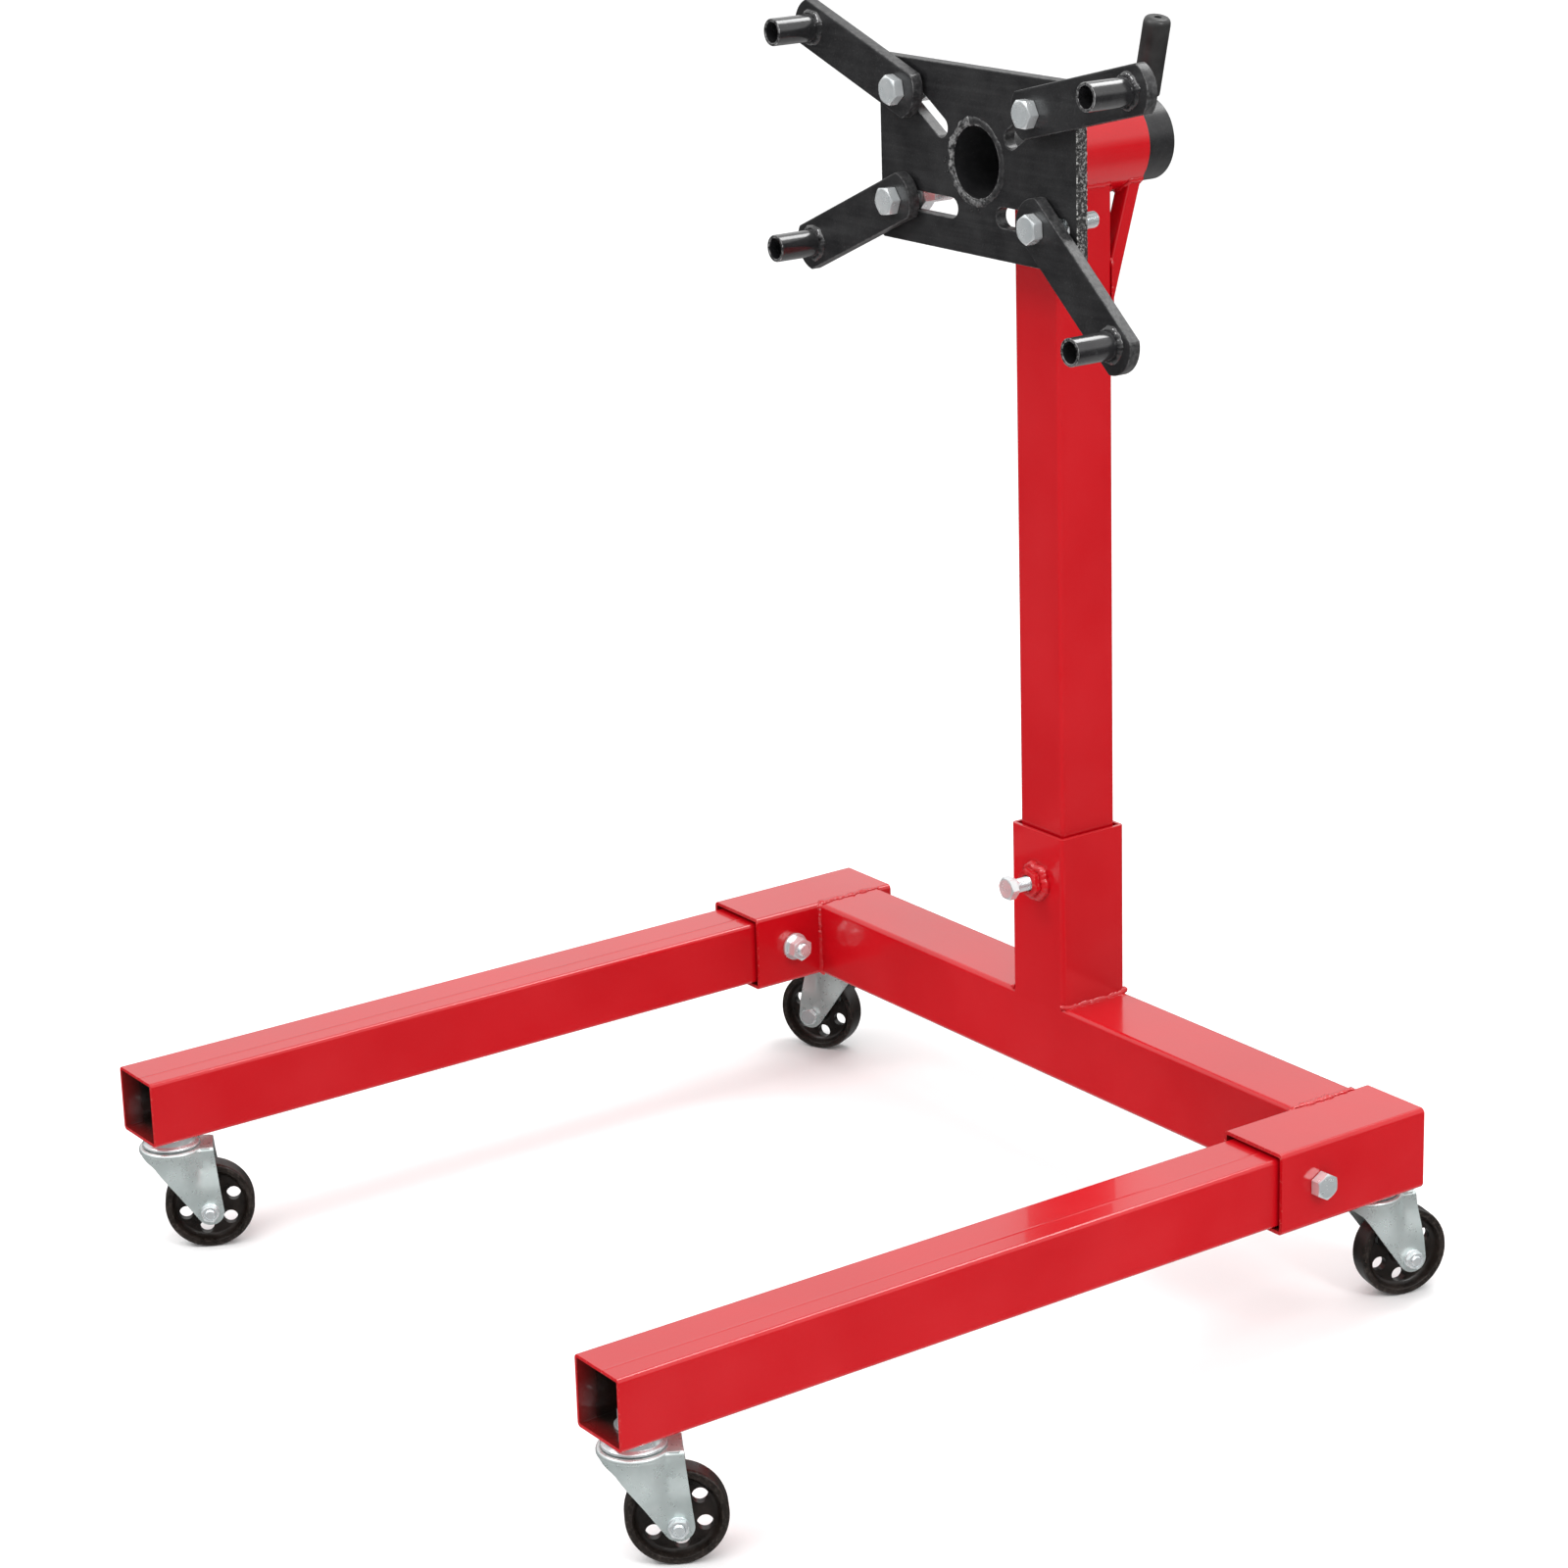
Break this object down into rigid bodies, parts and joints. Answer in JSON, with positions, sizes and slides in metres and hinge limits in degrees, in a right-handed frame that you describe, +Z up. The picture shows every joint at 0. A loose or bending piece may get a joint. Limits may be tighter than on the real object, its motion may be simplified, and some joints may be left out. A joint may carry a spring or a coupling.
{
  "type": "engine stand",
  "caption": "Rolling engine stand: U-shaped tube base on swivel casters, upright in a socket, and a turning head plate with slotted arms and stub tubes.",
  "frame": {"origin": "bottom centre of the bounding box, on the floor under the wheels", "axes": "+X to the right seen from the side the engine hangs on, +Y to the back, +Z up; the engine hangs on the -Y side"},
  "size_m": [0.7133, 0.709, 0.8822],
  "materials": {
    "red_powder_coat": "gloss red powder coat",
    "black_powder_coat": "satin black powder coat",
    "zinc_plate": "bright zinc plate",
    "wheel_black": "satin black cast wheel",
    "grip_black": "matt black grip"
  },
  "bodies": {
    "base": {"crossbar": "red_powder_coat", "left_leg_socket": "red_powder_coat", "right_leg_socket": "red_powder_coat", "post_socket": "red_powder_coat", "clamp_nut": "red_powder_coat", "left_leg": "red_powder_coat", "right_leg": "red_powder_coat", "left_leg_bolt": "zinc_plate", "left_leg_washer": "zinc_plate", "left_leg_nut": "zinc_plate", "right_leg_bolt": "zinc_plate", "right_leg_washer": "zinc_plate", "right_leg_nut": "zinc_plate", "caster_race_fr": "zinc_plate", "caster_race_fl": "zinc_plate", "caster_race_rr": "zinc_plate", "caster_race_rl": "zinc_plate"},
    "clamp_screw": {"clamp_bolt": "zinc_plate"},
    "upright": {"column": "red_powder_coat", "head_tube": "red_powder_coat", "head_lock_nut": "red_powder_coat", "left_brace": "red_powder_coat", "right_brace": "red_powder_coat"},
    "head_lock_screw": {"head_lock_bolt": "zinc_plate"},
    "head": {"head_shaft": "black_powder_coat", "head_plate": "black_powder_coat", "handle_rod": "zinc_plate", "handle_grip": "grip_black"},
    "slider_ul": {"arm_bolt_ul": "zinc_plate", "arm_nut_ul": "zinc_plate", "arm_washer_ul": "black_powder_coat"},
    "arm_ul": {"arm_ul": "black_powder_coat", "stub_tube_ul": "black_powder_coat"},
    "slider_ll": {"arm_bolt_ll": "zinc_plate", "arm_nut_ll": "zinc_plate", "arm_washer_ll": "black_powder_coat"},
    "arm_ll": {"arm_ll": "black_powder_coat", "stub_tube_ll": "black_powder_coat"},
    "slider_lr": {"arm_bolt_lr": "zinc_plate", "arm_nut_lr": "zinc_plate", "arm_washer_lr": "black_powder_coat"},
    "arm_lr": {"arm_lr": "black_powder_coat", "stub_tube_lr": "black_powder_coat"},
    "slider_ur": {"arm_bolt_ur": "zinc_plate", "arm_nut_ur": "zinc_plate", "arm_washer_ur": "black_powder_coat"},
    "arm_ur": {"arm_ur": "black_powder_coat", "stub_tube_ur": "black_powder_coat"},
    "swivel_fr": {"caster_fork_fr": "zinc_plate", "caster_axle_fr": "zinc_plate"},
    "wheel_fr": {"caster_wheel_fr": "wheel_black"},
    "swivel_fl": {"caster_fork_fl": "zinc_plate", "caster_axle_fl": "zinc_plate"},
    "wheel_fl": {"caster_wheel_fl": "wheel_black"},
    "swivel_rr": {"caster_fork_rr": "zinc_plate", "caster_axle_rr": "zinc_plate"},
    "wheel_rr": {"caster_wheel_rr": "wheel_black"},
    "swivel_rl": {"caster_fork_rl": "zinc_plate", "caster_axle_rl": "zinc_plate"},
    "wheel_rl": {"caster_wheel_rl": "wheel_black"}
  },
  "joints": [
    {"name": "upright_lift", "type": "slide", "parent": "base", "child": "upright", "axis": [0, 0, 1], "range_m": [0, 0.11]},
    {"name": "clamp_screw_back_off", "type": "slide", "parent": "base", "child": "clamp_screw", "axis": [0, -1, 0], "range_m": [0, 0.012]},
    {"name": "head_lock_back_off", "type": "slide", "parent": "upright", "child": "head_lock_screw", "axis": [-1, 0, 0], "range_m": [0, 0.012]},
    {"name": "head_turn", "type": "hinge", "parent": "upright", "child": "head", "pos_m": [0.00828, 0.27403, 0.783], "axis": [0, -1, 0], "continuous": true},
    {"name": "slot_slide_ul", "type": "slide", "parent": "head", "child": "slider_ul", "axis": [-0.8386, 0, 0.5447], "range_m": [-0.0438, 0.0132]},
    {"name": "arm_swing_ul", "type": "hinge", "parent": "slider_ul", "child": "arm_ul", "pos_m": [-0.06832, 0.19403, 0.8276], "axis": [0, -1, 0], "range_deg": [-50, 18]},
    {"name": "slot_slide_ll", "type": "slide", "parent": "head", "child": "slider_ll", "axis": [-1, 0, 0], "range_m": [-0.0541, 0.0111]},
    {"name": "arm_swing_ll", "type": "hinge", "parent": "slider_ll", "child": "arm_ll", "pos_m": [-0.07522, 0.19403, 0.7477], "axis": [0, -1, 0], "range_deg": [-18, 46]},
    {"name": "slot_slide_lr", "type": "slide", "parent": "head", "child": "slider_lr", "axis": [1, 0, 0], "range_m": [-0.0491, 0.0161]},
    {"name": "arm_swing_lr", "type": "hinge", "parent": "slider_lr", "child": "arm_lr", "pos_m": [0.08678, 0.19403, 0.7477], "axis": [0, -1, 0], "range_deg": [-29, 34]},
    {"name": "slot_slide_ur", "type": "slide", "parent": "head", "child": "slider_ur", "axis": [0.8386, 0, 0.5447], "range_m": [-0.0412, 0.0158]},
    {"name": "arm_swing_ur", "type": "hinge", "parent": "slider_ur", "child": "arm_ur", "pos_m": [0.08268, 0.19403, 0.8262], "axis": [0, -1, 0], "range_deg": [-13, 46]},
    {"name": "caster_swivel_fr", "type": "hinge", "parent": "base", "child": "swivel_fr", "pos_m": [0.31828, -0.32897, 0.08], "axis": [0, 0, 1], "continuous": true},
    {"name": "wheel_spin_fr", "type": "hinge", "parent": "swivel_fr", "child": "wheel_fr", "pos_m": [0.33115, -0.30754, 0.033], "axis": [0.8572, -0.515, 0], "continuous": true},
    {"name": "caster_swivel_fl", "type": "hinge", "parent": "base", "child": "swivel_fl", "pos_m": [-0.30172, -0.32897, 0.08], "axis": [0, 0, 1], "continuous": true},
    {"name": "wheel_spin_fl", "type": "hinge", "parent": "swivel_fl", "child": "wheel_fl", "pos_m": [-0.28998, -0.30689, 0.033], "axis": [0.8829, -0.4695, 0], "continuous": true},
    {"name": "caster_swivel_rr", "type": "hinge", "parent": "base", "child": "swivel_rr", "pos_m": [0.31828, 0.29203, 0.08], "axis": [0, 0, 1], "continuous": true},
    {"name": "wheel_spin_rr", "type": "hinge", "parent": "swivel_rr", "child": "wheel_rr", "pos_m": [0.32475, 0.31618, 0.033], "axis": [0.9659, -0.2588, 0], "continuous": true},
    {"name": "caster_swivel_rl", "type": "hinge", "parent": "base", "child": "swivel_rl", "pos_m": [-0.30172, 0.29203, 0.08], "axis": [0, 0, 1], "continuous": true},
    {"name": "wheel_spin_rl", "type": "hinge", "parent": "swivel_rl", "child": "wheel_rl", "pos_m": [-0.324, 0.28068, 0.033], "axis": [-0.454, 0.891, 0], "continuous": true}
  ]
}
